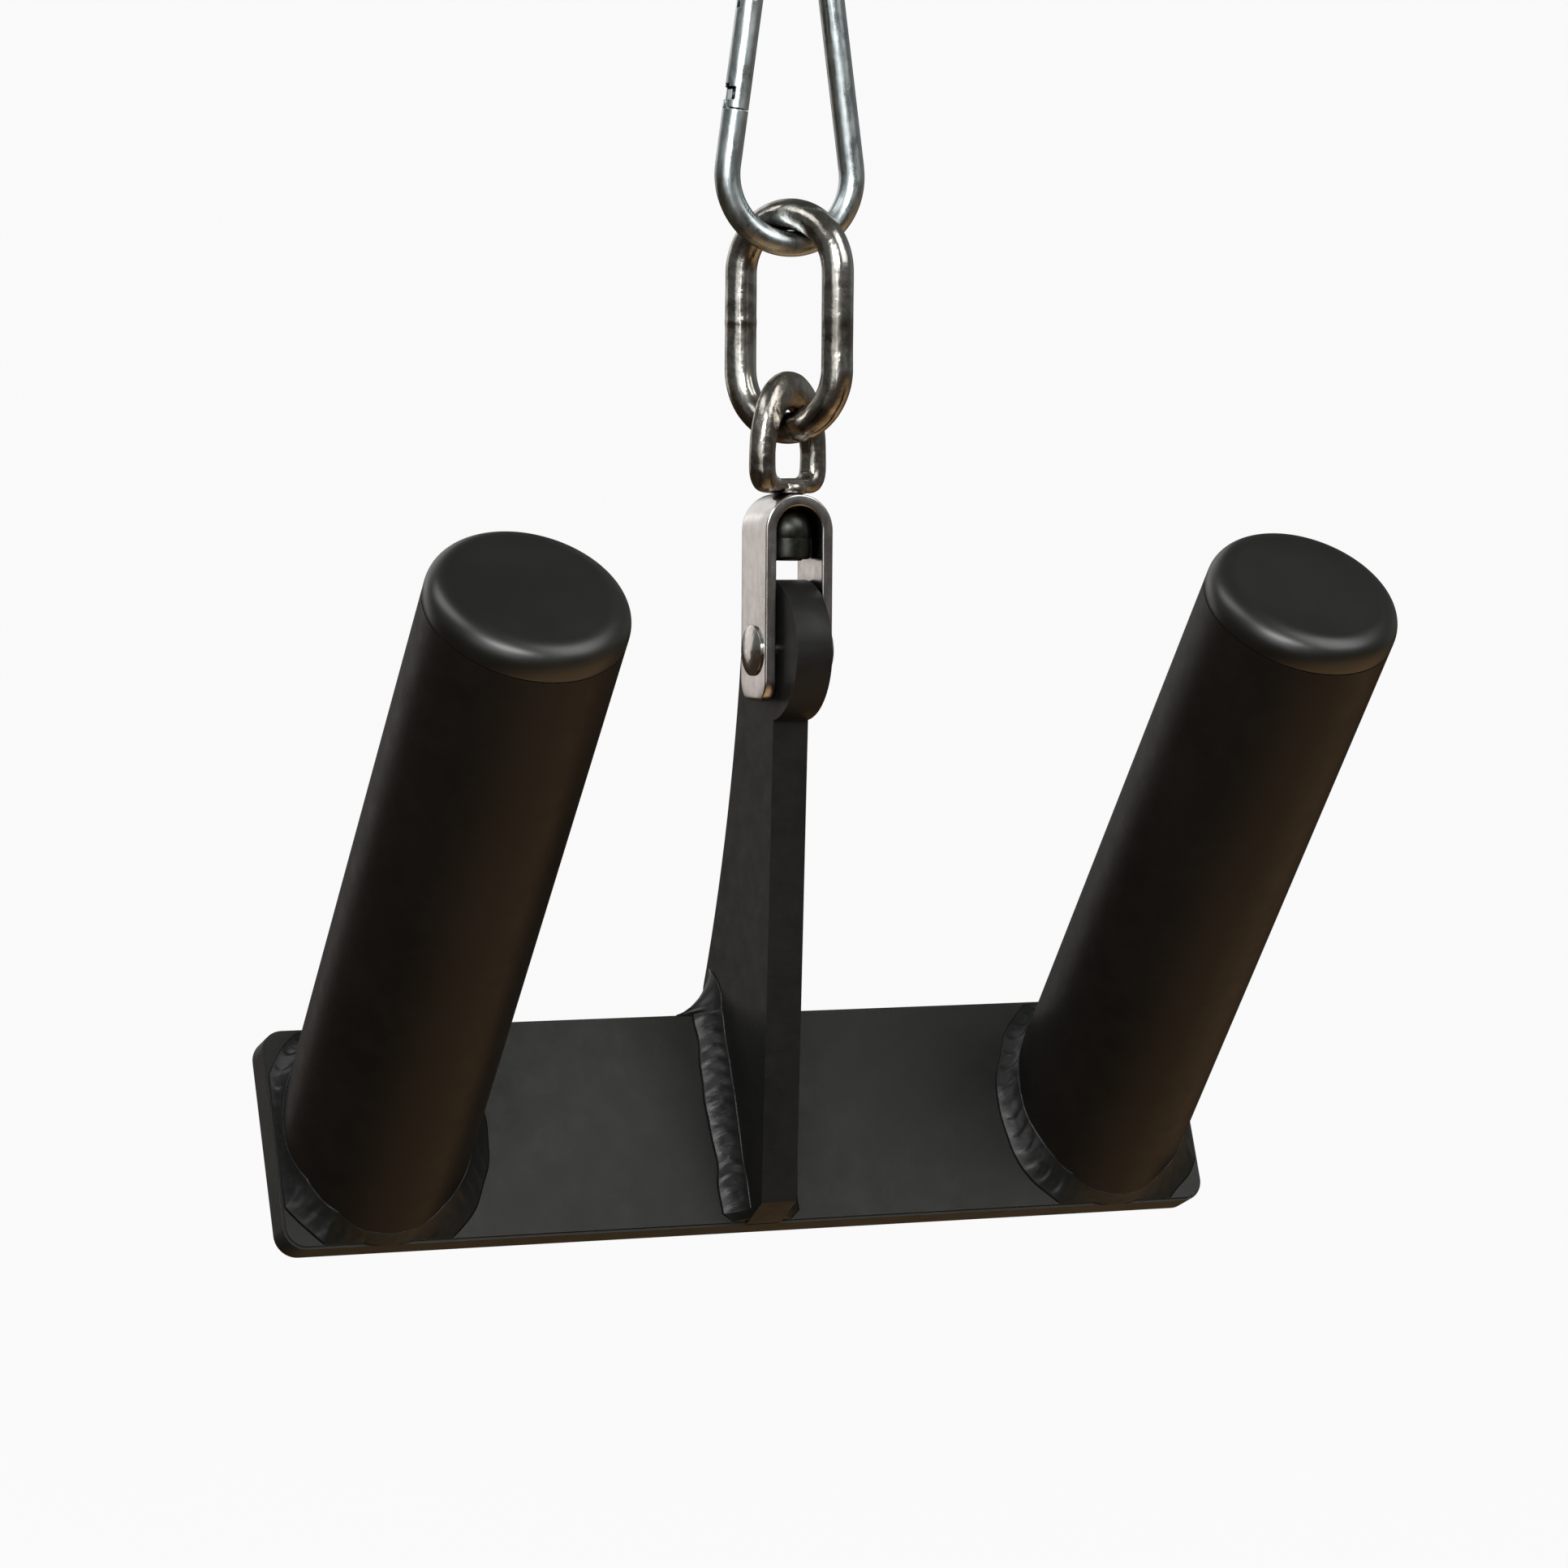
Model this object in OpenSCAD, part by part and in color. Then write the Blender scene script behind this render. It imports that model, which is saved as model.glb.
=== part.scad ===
// Cable row handle: two inclined thick grips on a flat plate, hung from a
// flat neck, a swivel bracket, one chain link and a spring snap hook.
// +X runs along the plate, -Y is the side the grips stand on, +Z is the
// direction of pull.  The origin is the seat of the hook's upper arc, where
// the machine's ring bears.

/* [Plate] */
// Length of the flat plate
plate_length = 266; // [250:1:290]
// Height of the flat plate
plate_height = 58.5; // [58.5:0.5:70]
// Thickness of the flat plate
plate_thick = 10; // [8:0.5:12]
// Radius of the plate's rounded corners
plate_corner = 6; // [3:0.5:12]
// Lean of the plate away from the pull direction, degrees
plate_lean = 22.3; // [20:0.1:24]

/* [Grips] */
// Outside diameter of each grip tube
grip_dia = 50.8; // [45:0.1:50.8]
// Wall thickness of each grip tube
grip_wall = 2.5; // [2:0.1:4]
// Distance between the two grip axes
grip_spacing = 210.6; // [190:0.1:211]
// Length of the tube along its axis, plate face to seam
grip_length = 175.8; // [120:0.2:200]
// Angle between the grip axis and the plate's normal, degrees
grip_tilt = 29.5; // [20:0.5:29.5]
// Height of the end cap above the seam
cap_height = 8.3; // [7:0.1:12]
// Radius of the end cap's rounded rim
cap_rim = 4.5; // [2:0.1:6]

/* [Neck] */
// Thickness of the neck plate
neck_thick = 10; // [8:0.5:10]
// Radius of the rounded eye at the top of the neck
neck_eye_radius = 18.5; // [16:0.5:20]
// Radius of the long concave curve down the back of the neck
neck_curve_radius = 360; // [340:5:400]

/* [Welds] */
// Leg of the weld bead around each grip
tube_weld = 7.5; // [5:0.5:9]
// Leg of the weld bead down each side of the neck
neck_weld = 7.5; // [5:0.5:9]

/* [Swivel bracket] */
// Outside width of the bracket across its two legs
bracket_width = 19; // [19:0.5:22]
// Width of the strap the bracket is bent from
strap_width = 16.5; // [14:0.5:18]
// Thickness of the strap
strap_thick = 3; // [2.5:0.1:3]
// Height of the bracket's crown above the cross pin
bracket_top = 40.9; // [40:0.1:44]
// Diameter of the cross pin
pin_dia = 10; // [8:0.5:11]

/* [Swivel eye] */
// Outside width of the eye
eye_width = 28; // [28:0.5:30]
// Thickness of the eye's legs
eye_wire = 6.5; // [6:0.1:7]
// Direction the eye faces about the pull axis, degrees
eye_yaw = 30; // [20:1:40]

/* [Chain link] */
// Overall length of the link
link_length = 64; // [60:0.5:70]
// Overall width of the link
link_width = 39; // [36:0.5:40]
// Wire diameter of the link
link_wire = 8.4; // [7:0.1:8.4]
// Direction the link faces about the pull axis, degrees
link_yaw = -58; // [-60:1:-50]

/* [Snap hook] */
// Wire diameter of the snap hook
hook_wire = 6.8; // [6.4:0.1:7]
// Centreline radius of the wide lower arc
hook_low_radius = 17.7; // [17:0.1:20]
// Centreline radius of the narrow upper arc
hook_top_radius = 10.5; // [9:0.1:12]
// Distance between the centres of the two arcs
hook_span = 52.4; // [51:0.1:60]

/* [Hidden] */
$fn = 64;

paint = [0.10, 0.10, 0.10];
plate_paint = [0.20, 0.20, 0.19];
cap_black = "black";
nickel = [0.78, 0.77, 0.74];
zinc = [0.70, 0.74, 0.76];

grip_radius = grip_dia / 2;
hook_wire_radius = hook_wire / 2;

// heights above the cross pin of the hanging chain of parts
eye_z = bracket_top + 9.96;           // where the eye is widest
eye_stretch_up = 1.54;                // the eye is drawn out above that
eye_stretch_down = 0.67;              // and flattened on to its collar below
ring_slack = 0.06;                    // between one ring and the next
link_bottom = eye_z + (eye_width / 2 - eye_wire) * eye_stretch_up - ring_slack - link_wire;
link_z = link_bottom + link_length / 2;
hook_bottom = link_bottom + link_length - link_wire - ring_slack - hook_wire;
hook_low_z = hook_bottom + hook_wire_radius + hook_low_radius;
hook_top_z = hook_low_z + hook_span;
hook_lean = asin((hook_low_radius - hook_top_radius) / hook_span);
seat_z = hook_top_z + hook_top_radius - hook_wire_radius;

// centre of the plate's front face, measured from the cross pin
plate_y = 23.5;
plate_z = -126;

// parts are drawn with the cross pin at zero, then shifted to put the seat there
module placed() {
    translate([0, 0, -seat_z]) children();
}
// x along the plate, y up the plate, z out of the plate's front face
module on_plate() {
    placed() translate([0, plate_y, plate_z]) rotate([90 - plate_lean, 0, 0]) children();
}
// from the plate's frame to a grip's: z along the axis; side is -1 left, 1 right
module along_grip(side) {
    translate([side * grip_spacing / 2, 0, 0]) rotate([-grip_tilt, 0, 0]) children();
}

// ---------------------------------------------------------------- plate
broken_edge = 0.7;

module plate_outline(inset) {
    length = plate_length - 2 * inset;
    height = plate_height - 2 * inset;
    corner = plate_corner - inset;
    square([length - 2 * corner, height], center = true);
    square([length, height - 2 * corner], center = true);
    for (x = [-1, 1], y = [-1, 1])
        translate([x * (length / 2 - corner), y * (height / 2 - corner)]) circle(r = corner);
}

module base_plate() {
    color(plate_paint) on_plate() translate([0, 0, -plate_thick]) {
        for (z = [0, plate_thick - broken_edge])
            translate([0, 0, z]) linear_extrude(broken_edge) plate_outline(broken_edge);
        translate([0, 0, broken_edge]) linear_extrude(plate_thick - 2 * broken_edge)
            plate_outline(0);
    }
}

// ---------------------------------------------------------------- neck
// side profile as [y, z], cross pin at zero
function from_plate(up, out) = [
    plate_y + up * sin(plate_lean) - out * cos(plate_lean),
    plate_z + up * cos(plate_lean) + out * sin(plate_lean)];
curve_angle = 7;                      // where the long curve leaves the eye
curve_bite = 0.3;                     // how far it cuts into the eye
curve_dir = [cos(curve_angle), sin(curve_angle)];
curve_start = (neck_eye_radius - 1) * curve_dir;
curve_centre = (neck_eye_radius + neck_curve_radius - curve_bite) * curve_dir;
heel = from_plate(plate_height / 2, -plate_thick);
heel_top_y = heel[0] - 0.6;
heel_top_z = curve_centre[1]
    - sqrt(pow(neck_curve_radius, 2) - pow(curve_centre[0] - heel_top_y, 2));
front_foot = [2, -146];
front_top = [-3.5, -10];

module neck_plate() {
    color(paint) placed() rotate([90, 0, 90]) difference() {
        union() {
            cylinder(r = neck_eye_radius, h = neck_thick, center = true, $fn = 96);
            linear_extrude(neck_thick, center = true)
                polygon([front_foot, front_top, [0, 0], curve_start,
                         [heel_top_y, heel_top_z], heel,
                         from_plate(plate_height / 2, 0), from_plate(-plate_height / 2, 0)]);
        }
        translate([curve_centre[0], curve_centre[1], 0])
            cylinder(r = neck_curve_radius, h = 2 * neck_thick, center = true, $fn = 360);
        cylinder(d = pin_dia + 0.1, h = 2 * neck_thick, center = true);
    }
}

// ---------------------------------------------------------------- grips
tube_overrun = 30;                    // tube drawn past the plate face, then cut flush
trim_block = [120, 140, 80];

module grip_tube(side) {
    color(paint) on_plate() difference() {
        along_grip(side) translate([0, 0, -tube_overrun]) difference() {
            cylinder(r = grip_radius, h = grip_length + tube_overrun, $fn = 128);
            translate([0, 0, -1])
                cylinder(r = grip_radius - grip_wall, h = grip_length + tube_overrun + 2, $fn = 128);
        }
        translate([side * grip_spacing / 2 - trim_block[0] / 2, -trim_block[1] / 2, -trim_block[2]])
            cube(trim_block);
    }
}
module left_grip_tube() { grip_tube(-1); }
module right_grip_tube() { grip_tube(1); }

seam_gap = 0.15;                      // narrow groove between cap head and tube
seam_inset = 0.35;
spigot_radius = grip_radius - grip_wall - 0.4;
spigot_depth = 16;
spigot_wall = 3;
hollow_top = 1.5;                     // roof of the spigot's hollow, above the seam
rib_heights = [-3.5, -7.5, -11.5];
rib_reach = 0.35;                     // how far a rib stands out of the spigot
rib_height = 1.2;

// push-in cap: rounded head the size of the tube, ribbed spigot inside it
module end_cap(side) {
    color(cap_black) on_plate() along_grip(side) translate([0, 0, grip_length])
        rotate_extrude($fn = 128) difference() {
            union() {
                translate([0, seam_gap]) square([grip_radius, cap_height - cap_rim - seam_gap]);
                square([grip_radius - seam_inset, 1]);
                square([grip_radius - cap_rim, cap_height]);
                intersection() {
                    translate([grip_radius - cap_rim, cap_height - cap_rim]) circle(r = cap_rim);
                    translate([0, seam_gap]) square([grip_radius, cap_height]);
                }
                translate([0, -spigot_depth]) square([spigot_radius, spigot_depth + 0.5]);
                for (z = rib_heights)
                    translate([spigot_radius - 1, z]) square([1 + rib_reach, rib_height]);
            }
            // keeps the profile on one side of the axis
            translate([-30, -30]) square([30, 60]);
            translate([-1, -spigot_depth - 1])
                square([spigot_radius - spigot_wall + 1, spigot_depth + 1 + hollow_top]);
        }
}
module left_end_cap() { end_cap(-1); }
module right_end_cap() { end_cap(1); }

// ---------------------------------------------------------------- welds
// A bead is a list of cross-sections joined into one closed skin.  Each
// section runs from the toe on one part, over a convex crown, to the toe on
// the other, and back through the root.
crown_steps = 6;
crown_swell = 0.36;                   // middle control point of the crown's curve
ripple_size = 0.07;

function bead_section(root, dir1, dir2, leg1, leg2) = concat([root], [
    for (k = [0:crown_steps])
        let (t = k / crown_steps,
             middle = 2 * t * (1 - t) * crown_swell,
             part1 = (1 - t) * (1 - t) + middle,
             part2 = t * t + middle)
        root + dir1 * leg1 * part1 + dir2 * leg2 * part2]);

function ripple(travel, pitch) =
    let (phase = travel / pitch - floor(travel / pitch)) 1 + ripple_size * sin(180 * phase);

module skin(sections, closed) {
    count = len(sections);
    size = len(sections[0]);
    points = [for (section = sections) each section];
    last = closed ? count : count - 1;
    end = (count - 1) * size;
    sides = [for (i = [0:last - 1], j = [0:size - 1])
        let (a = i * size, b = (i + 1) % count * size, next = (j + 1) % size)
        each [[a + j, a + next, b + next], [a + j, b + next, b + j]]];
    caps = closed ? [] : concat(
        [for (j = [1:size - 2]) [0, j + 1, j]],
        [for (j = [1:size - 2]) [end, end + j, end + j + 1]]);
    polyhedron(points = points, faces = concat(sides, caps), convexity = 6);
}

tube_weld_stations = 108;
edge_margin = 0.8;                    // the bead's toe stops this far inside the plate's edge
min_toe = 0.25;

// distance from a point beside the grip to the plate's edge, along normal
function edge_room(point, normal, grip_x) = min(
    (plate_length / 2 - edge_margin - abs(grip_x) - point[0] * sign(grip_x))
        / max(0.02, normal[0] * sign(grip_x)),
    (plate_height / 2 - edge_margin - abs(point[1])) / max(0.02, normal[1] * sign(point[1])));

// the root follows the ellipse where the tilted tube meets the plate; a leg
// cut short by the plate's edge also lowers the leg up the tube
function tube_section(i, side) = let (
    angle = 360 * i / tube_weld_stations,
    root = [grip_radius * cos(angle), grip_radius * sin(angle) / cos(grip_tilt), 0],
    gradient = [cos(angle), sin(angle) * cos(grip_tilt), 0],
    normal = gradient / norm(gradient),
    axis = [0, sin(grip_tilt), cos(grip_tilt)],
    room = edge_room(root, normal, side * grip_spacing / 2),
    leg = tube_weld * ripple(i * 3, 6),
    plate_leg = max(min_toe, min(leg, room)),
    tube_leg = leg * (0.55 + 0.45 * plate_leg / leg) * (1 - 0.25 * sin(angle)))
    bead_section(root, normal, axis, plate_leg, tube_leg);

module tube_weld_bead(side) {
    color(paint) on_plate() translate([side * grip_spacing / 2, 0, 0])
        skin([for (i = [0:tube_weld_stations - 1]) tube_section(i, side)], true);
}
module left_tube_weld() { tube_weld_bead(-1); }
module right_tube_weld() { tube_weld_bead(1); }

face_steps = 40;
turn_steps = 6;
top_steps = 8;
bead_start = 0.9;                     // from the plate's bottom edge
bead_turn = 0.05;                     // radius of the turn over the plate's top edge
top_run = plate_thick - 1.4;          // run back across the top edge
top_leg = 0.88;                       // leg on the top edge, as a share of the full leg
neck_side_leg = 0.8;                  // leg on the neck, as a share of that on the plate

// stations as [root, plate surface normal, leg]: up the plate's front face
// beside the neck, round the top edge, then back across it
function neck_path(side) = let (x = side * neck_thick / 2, top = plate_height / 2) concat(
    [for (i = [0:face_steps])
        let (y = bead_start - top + (plate_height - bead_start - bead_turn) * i / face_steps)
        [[x, y, 0], [0, 0, 1], neck_weld * ripple(i * 1.5, 3)]],
    [for (i = [1:turn_steps])
        let (turn = 90 * i / turn_steps)
        [[x, top - bead_turn + bead_turn * sin(turn), -bead_turn + bead_turn * cos(turn)],
         [0, sin(turn), cos(turn)],
         neck_weld * (1 - (1 - top_leg) * i / turn_steps)]],
    [for (i = [1:top_steps])
        [[x, top, -bead_turn - top_run * i / top_steps],
         [0, 1, 0],
         neck_weld * top_leg * ripple(i, 2.6)]]);

module neck_weld_bead(side) {
    sections = [for (station = neck_path(side))
        bead_section(station[0], [side, 0, 0], station[1],
                     station[2], station[2] * neck_side_leg)];
    // the left bead is a mirror image, so its order is reversed to face outward
    ordered = side < 0 ? [for (i = [len(sections) - 1:-1:0]) sections[i]] : sections;
    color(paint) on_plate() skin(ordered, false);
}
module left_neck_weld() { neck_weld_bead(-1); }
module right_neck_weld() { neck_weld_bead(1); }

// ---------------------------------------------------------------- bracket
bracket_half = bracket_width / 2;
bracket_inner = bracket_half - strap_thick;
arch_z = bracket_top - bracket_half;
round_leg_radius = 9.3;
square_leg_drop = 13.2;               // squarer leg's end below the cross pin
square_leg_corner = 5.5;
pin_fit = 0.02;

module swivel_bracket() {
    corner_z = square_leg_corner - square_leg_drop;
    corner_y = strap_width / 2 - square_leg_corner;
    color(nickel) placed() difference() {
        union() {
            rotate([90, 0, 0]) linear_extrude(strap_width, center = true) difference() {
                union() {
                    translate([0, arch_z]) circle(r = bracket_half, $fn = 96);
                    translate([-bracket_half, 0]) square([bracket_width, arch_z]);
                }
                translate([0, arch_z]) circle(r = bracket_inner, $fn = 96);
                translate([-bracket_inner, -1]) square([2 * bracket_inner, arch_z + 1]);
            }
            // right leg ends round
            translate([bracket_half - strap_thick / 2, 0, 0]) rotate([0, 90, 0])
                cylinder(r = round_leg_radius, h = strap_thick, center = true, $fn = 96);
            // left leg runs on to a squarer end with rounded corners
            translate([-bracket_half, -strap_width / 2, corner_z])
                cube([strap_thick, strap_width, 1 - corner_z]);
            translate([-bracket_half, -corner_y, -square_leg_drop])
                cube([strap_thick, 2 * corner_y, square_leg_drop]);
            for (s = [-1, 1])
                translate([strap_thick / 2 - bracket_half, s * corner_y, corner_z])
                    rotate([0, 90, 0])
                        cylinder(r = square_leg_corner, h = strap_thick, center = true);
        }
        translate([-bracket_width, 0, 0]) rotate([0, 90, 0])
            cylinder(d = pin_dia + pin_fit, h = 2 * bracket_width, $fn = 64);
        translate([0, 0, bracket_top - 8]) cylinder(d = 8.1, h = 12, $fn = 64);
    }
}

pin_overrun = 1.1;                    // pin's length beyond the right leg
pin_head_radius = 6.6;
pin_head_height = 1.8;
pin_head_rim = 0.6;
pin_head_dome = 18.75;
pin_tail_height = 1.4;
pin_tail_dome = 10.6;

// riveted cross pin: low domed head on the left, upset tail on the right
module cross_pin() {
    color(nickel) placed() rotate([0, 90, 0]) {
        translate([0, 0, -bracket_half])
            cylinder(d = pin_dia, h = bracket_width + pin_overrun, $fn = 64);
        translate([0, 0, -bracket_half]) mirror([0, 0, 1]) rotate_extrude($fn = 96)
            intersection() {
                union() {
                    square([pin_head_radius, pin_head_rim]);
                    translate([0, pin_head_height - pin_head_dome])
                        circle(r = pin_head_dome, $fn = 160);
                }
                square([pin_head_radius, pin_head_height]);
            }
        translate([0, 0, bracket_half + pin_overrun]) rotate_extrude($fn = 64) intersection() {
            translate([0, pin_tail_height - pin_tail_dome]) circle(r = pin_tail_dome, $fn = 120);
            square([5.6, 1.6]);
        }
    }
}

module pin_washer() {
    color(nickel) placed() rotate([0, 90, 0]) translate([0, 0, bracket_half + 0.02])
        difference() {
            cylinder(r = 7, h = 1.05, $fn = 64);
            translate([0, 0, -1]) cylinder(d = pin_dia + pin_fit, h = 4, $fn = 64);
        }
}

// ---------------------------------------------------------------- swivel
shank_radius = 4;
collar_radius = 5;
collar_height = 3;
head_bottom = 23.9;
head_radius = 6.1;
head_round = 0.8;                     // rounding of the head's lower rim
shank_bottom = head_bottom - 0.4;

module swivel_eye() {
    color(nickel) placed() {
        // upper then lower half, as [turn, vertical stretch]
        translate([0, 0, eye_z]) rotate([0, 0, eye_yaw])
            for (half = [[0, eye_stretch_up], [180, eye_stretch_down]])
                scale([1, 1, half[1]]) rotate([90, 0, 0]) rotate([0, 0, half[0]])
                    rotate_extrude(angle = 180, $fn = 96)
                        translate([eye_width / 2 - eye_wire / 2, 0]) circle(d = eye_wire, $fn = 48);
        translate([0, 0, bracket_top + 0.05]) cylinder(r = collar_radius, h = collar_height);
        translate([0, 0, shank_bottom])
            cylinder(r = shank_radius, h = bracket_top + 0.5 - shank_bottom);
    }
}

// ring round the shank, domed on top to sit inside the bracket's arch
module swivel_head() {
    rim_z = head_bottom + head_round;
    color(nickel) placed() rotate_extrude($fn = 96) difference() {
        union() {
            intersection() {
                translate([0, arch_z]) circle(r = bracket_inner - 0.1, $fn = 96);
                translate([0, arch_z - 3]) square([8, 12]);
            }
            translate([0, rim_z]) square([head_radius, arch_z - 0.6 - rim_z]);
            translate([0, head_bottom]) square([head_radius - head_round, 1]);
            translate([head_radius - head_round, rim_z]) circle(r = head_round, $fn = 32);
        }
        translate([-10, 0]) square([10 + shank_radius + 0.01, 60]);
    }
}

// ---------------------------------------------------------------- link
flash_radius = 0.6;
flash_sink = 0.4;                     // flash centre below the wire's surface

module chain_link() {
    bend = link_width / 2 - link_wire / 2;
    straight = link_length - link_width;
    color(nickel) placed() translate([0, 0, link_z]) rotate([0, 0, link_yaw]) {
        for (s = [0, 1])
            mirror([0, 0, s]) translate([0, 0, straight / 2]) rotate([90, 0, 0])
                rotate_extrude(angle = 180, $fn = 96)
                    translate([bend, 0]) circle(d = link_wire, $fn = 48);
        for (x = [-bend, bend])
            translate([x, 0, -straight / 2]) cylinder(d = link_wire, h = straight, $fn = 48);
        // resistance-weld flash halfway down one side
        translate([-bend, 0, 0]) rotate_extrude($fn = 48)
            translate([link_wire / 2 - flash_sink, 0]) circle(r = flash_radius, $fn = 24);
    }
}

// ---------------------------------------------------------------- hook
// heights are measured up the left leg, from the end of the lower arc
hook_leg = hook_span * cos(hook_lean);
gate_start = 14.4;                    // nose end of the gate
pivot_z = 44;                         // gate pivot
tongue = 2.4;                         // thickness of the nose and hinge tongues
nose_bar = 5;                         // length of the nose's cross bar
gate_pin_dia = 2.5;
well_depth = 17;                      // spring well, below the pivot
plunger_z = pivot_z - 6.5;
plunger_body = 2.1;

// z up the left leg, +x towards the inside of the hook
module on_left_leg() {
    placed()
        translate([-hook_low_radius * cos(hook_lean), 0,
                   hook_low_z + hook_low_radius * sin(hook_lean)])
            rotate([0, hook_lean, 0]) children();
}
// each arc runs a little way into the ends of the legs, which are a hair thicker
module hook_arc(radius, start, end) {
    overrun = 22 / radius;            // degrees
    rotate([90, 0, 0]) rotate([0, 0, start - overrun])
        rotate_extrude(angle = end - start + 2 * overrun, $fn = 80)
            translate([radius, 0]) circle(r = hook_wire_radius - 0.02, $fn = 48);
}

module hook_body() {
    shoulder = pivot_z + 3.8;
    color(zinc) {
        placed() {
            translate([0, 0, hook_low_z]) hook_arc(hook_low_radius, -180 - hook_lean, hook_lean);
            translate([0, 0, hook_top_z]) hook_arc(hook_top_radius, hook_lean, 180 - hook_lean);
        }
        mirror([1, 0, 0]) on_left_leg() cylinder(r = hook_wire_radius, h = hook_leg, $fn = 48);
        on_left_leg() {
            cylinder(r = hook_wire_radius, h = gate_start - 0.3, $fn = 48);
            // nose: flat tongue with a cross bar
            translate([-2.2, -tongue / 2, gate_start - 1.3]) cube([4.2, tongue, 6.2]);
            translate([-0.4, 0, gate_start + 3.7]) rotate([90, 0, 0])
                cylinder(r = 1.1, h = nose_bar, center = true, $fn = 32);
            // hinge end: full wire down to the shoulder, then a flat tongue
            translate([0, 0, shoulder])
                cylinder(r = hook_wire_radius, h = hook_leg - shoulder, $fn = 48);
            translate([0, 0, pivot_z]) rotate([90, 0, 0]) linear_extrude(tongue, center = true)
                difference() {
                    union() {
                        circle(r = 3.1, $fn = 48);
                        translate([-2.9, 0]) square([5.8, 4.6]);
                    }
                    circle(d = gate_pin_dia + 0.1, $fn = 32);
                }
        }
    }
}

module hook_gate() {
    hinge_slot = tongue + 0.2;
    nose_slot = tongue + 0.3;
    bar_pocket = nose_bar + 0.5;
    color(zinc) on_left_leg() difference() {
        union() {
            translate([0, 0, gate_start])
                cylinder(r = hook_wire_radius, h = pivot_z - gate_start, $fn = 48);
            // end rounded about the pivot
            intersection() {
                translate([0, 0, pivot_z]) cylinder(r = hook_wire_radius, h = 6, $fn = 48);
                translate([0, 0, pivot_z]) rotate([90, 0, 0])
                    cylinder(r = hook_wire_radius, h = 12, center = true, $fn = 48);
            }
        }
        // slot for the hinge tongue, and the pin's hole across it
        translate([-5, -hinge_slot / 2, pivot_z - 3.6]) cube([10, hinge_slot, 10]);
        translate([0, 0, pivot_z]) rotate([90, 0, 0])
            cylinder(d = gate_pin_dia, h = 12, center = true, $fn = 32);
        // slot for the nose, and a pocket for its bar open on the outer side
        translate([-5, -nose_slot / 2, gate_start - 1]) cube([10, nose_slot, 7.2]);
        translate([-5, -bar_pocket / 2, gate_start + 2.1]) cube([6.2, bar_pocket, 3.3]);
        // spring well
        translate([0, 0, pivot_z - well_depth]) cylinder(r = 1.5, h = well_depth, $fn = 32);
    }
}

module gate_pin() {
    color(nickel) on_left_leg() translate([0, 0, pivot_z]) rotate([90, 0, 0])
        cylinder(d = gate_pin_dia, h = hook_wire - 0.3, center = true, $fn = 32);
}

// compression spring in the gate's well
spring_start = pivot_z - well_depth + 0.1;
spring_end = plunger_z - 0.1;
spring_turns = 7;
spring_radius = 1.2;
spring_wire = 0.22;                   // wire radius

module gate_spring() {
    steps = spring_turns * 14;
    rise = spring_end - spring_start - 2 * spring_wire;
    sections = [for (i = [0:steps])
        let (angle = 360 * spring_turns * i / steps,
             z = spring_start + spring_wire + rise * i / steps)
        [for (k = [0:5])
            let (reach = spring_radius + spring_wire * cos(60 * k))
            [reach * cos(angle), reach * sin(angle), z + spring_wire * sin(60 * k)]]];
    color(nickel) on_left_leg() skin(sections, false);
}

// stepped plunger in the well, between the spring and the hinge tongue
module gate_plunger() {
    color(nickel) on_left_leg() {
        translate([0, 0, plunger_z]) cylinder(r = 1.45, h = plunger_body, $fn = 32);
        translate([0, 0, plunger_z + plunger_body]) cylinder(r = 1.1, h = 1.1, $fn = 32);
    }
}

base_plate();
neck_plate();
left_grip_tube();
right_grip_tube();
left_end_cap();
right_end_cap();
left_tube_weld();
right_tube_weld();
left_neck_weld();
right_neck_weld();
swivel_bracket();
cross_pin();
pin_washer();
swivel_eye();
swivel_head();
chain_link();
hook_body();
hook_gate();
gate_pin();
gate_spring();
gate_plunger();
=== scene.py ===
import math
from types import SimpleNamespace

import bmesh
import bpy
import numpy as np
from mathutils import Matrix, Vector, noise

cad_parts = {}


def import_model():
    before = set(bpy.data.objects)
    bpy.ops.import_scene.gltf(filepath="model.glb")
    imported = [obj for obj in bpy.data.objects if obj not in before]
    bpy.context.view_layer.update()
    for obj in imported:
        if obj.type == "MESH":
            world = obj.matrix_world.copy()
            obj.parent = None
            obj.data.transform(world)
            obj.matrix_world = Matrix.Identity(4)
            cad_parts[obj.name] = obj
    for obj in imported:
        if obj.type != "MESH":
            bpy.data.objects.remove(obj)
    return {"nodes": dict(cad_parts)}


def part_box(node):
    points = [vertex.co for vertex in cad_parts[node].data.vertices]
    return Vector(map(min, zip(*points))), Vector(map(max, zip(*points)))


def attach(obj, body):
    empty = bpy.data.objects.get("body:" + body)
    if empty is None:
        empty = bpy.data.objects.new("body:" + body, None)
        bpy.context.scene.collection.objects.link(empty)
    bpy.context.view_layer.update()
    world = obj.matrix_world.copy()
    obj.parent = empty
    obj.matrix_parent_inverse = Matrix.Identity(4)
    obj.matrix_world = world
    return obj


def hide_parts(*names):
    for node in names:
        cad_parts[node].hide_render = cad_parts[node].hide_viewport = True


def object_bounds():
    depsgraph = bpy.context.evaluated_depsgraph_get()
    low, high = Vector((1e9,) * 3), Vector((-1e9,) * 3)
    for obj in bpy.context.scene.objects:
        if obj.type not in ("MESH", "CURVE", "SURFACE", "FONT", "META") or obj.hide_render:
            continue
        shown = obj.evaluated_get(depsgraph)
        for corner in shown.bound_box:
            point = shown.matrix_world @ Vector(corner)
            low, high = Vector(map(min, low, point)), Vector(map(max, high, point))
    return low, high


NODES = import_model()["nodes"]
cad_lo, cad_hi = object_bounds()


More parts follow.
